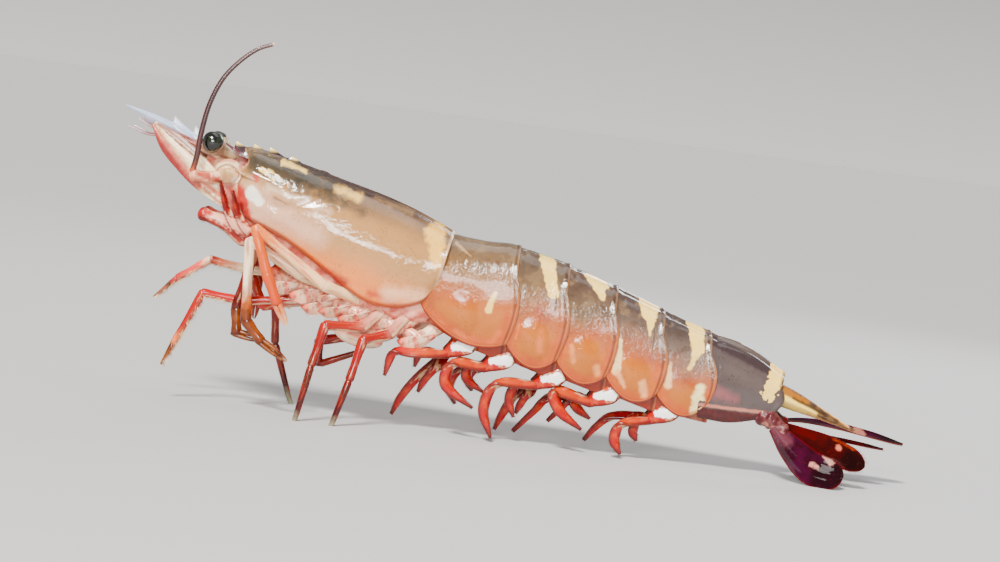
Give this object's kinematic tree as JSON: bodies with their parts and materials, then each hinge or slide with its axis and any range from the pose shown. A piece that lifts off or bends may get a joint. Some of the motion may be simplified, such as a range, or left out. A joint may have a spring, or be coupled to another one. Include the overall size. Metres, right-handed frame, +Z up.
{
  "type": "black tiger prawn",
  "caption": "Life-size still model of a black tiger prawn, nose raised, resting on its rear walking legs and the edge of its tail fan.",
  "frame": {"origin": "centre of the model's bounding box, on the floor it stands on", "axes": "+X towards the tail, -X towards the head, -Y towards the animal's left side, +Z up"},
  "size_m": [0.3084, 0.054, 0.1361],
  "materials": {
    "shell_brown": "wet gloss, translucent brown-grey with cream bands",
    "flesh_pink": "soft satin, pink and cream",
    "leg_orange": "wet gloss, orange-red with white patches",
    "whip_brown": "satin, brown-maroon",
    "scale_cream": "gloss, cream with a red lower edge",
    "fan_maroon": "gloss, plum-maroon with cream-pink spots",
    "eye_black": "polished, near black"
  },
  "bodies": {
    "root": {"carapace": "shell_brown", "abdomen_1": "shell_brown", "abdomen_2": "shell_brown", "abdomen_3": "shell_brown", "abdomen_4": "shell_brown", "abdomen_5": "shell_brown", "abdomen_6": "shell_brown", "telson": "shell_brown", "head": "flesh_pink", "thorax": "flesh_pink", "antenna_L": "flesh_pink", "antennule_L": "flesh_pink", "eyestalk_L": "flesh_pink", "antenna_R": "flesh_pink", "antennule_R": "flesh_pink", "eyestalk_R": "flesh_pink", "leg_1_L": "leg_orange", "leg_2_L": "leg_orange", "leg_3_L": "leg_orange", "leg_4_L_thigh": "leg_orange", "leg_4_L_shin": "leg_orange", "leg_5_L_thigh": "leg_orange", "leg_5_L_shin": "leg_orange", "maxilliped_3_L_thigh": "leg_orange", "maxilliped_3_L_shin": "leg_orange", "maxilliped_2_L": "leg_orange", "pleopod_1_L": "leg_orange", "pleopod_2_L": "leg_orange", "pleopod_3_L": "leg_orange", "pleopod_4_L": "leg_orange", "pleopod_5_L": "leg_orange", "leg_1_R": "leg_orange", "leg_2_R": "leg_orange", "leg_3_R": "leg_orange", "leg_4_R_thigh": "leg_orange", "leg_4_R_shin": "leg_orange", "leg_5_R": "leg_orange", "maxilliped_3_R_thigh": "leg_orange", "maxilliped_3_R_shin": "leg_orange", "maxilliped_2_R": "leg_orange", "pleopod_1_R": "leg_orange", "pleopod_2_R": "leg_orange", "pleopod_3_R": "leg_orange", "pleopod_4_R": "leg_orange", "pleopod_5_R": "leg_orange", "antenna_flagellum_L": "whip_brown", "antenna_flagellum_R": "whip_brown", "antenna_scale_L": "scale_cream", "antenna_scale_R": "scale_cream", "uropod_base_L": "fan_maroon", "uropod_exopod_L": "fan_maroon", "uropod_endopod_L": "fan_maroon", "uropod_base_R": "fan_maroon", "uropod_exopod_R": "fan_maroon", "uropod_endopod_R": "fan_maroon", "eye_L": "eye_black", "eye_R": "eye_black"}
  },
  "joints": []
}
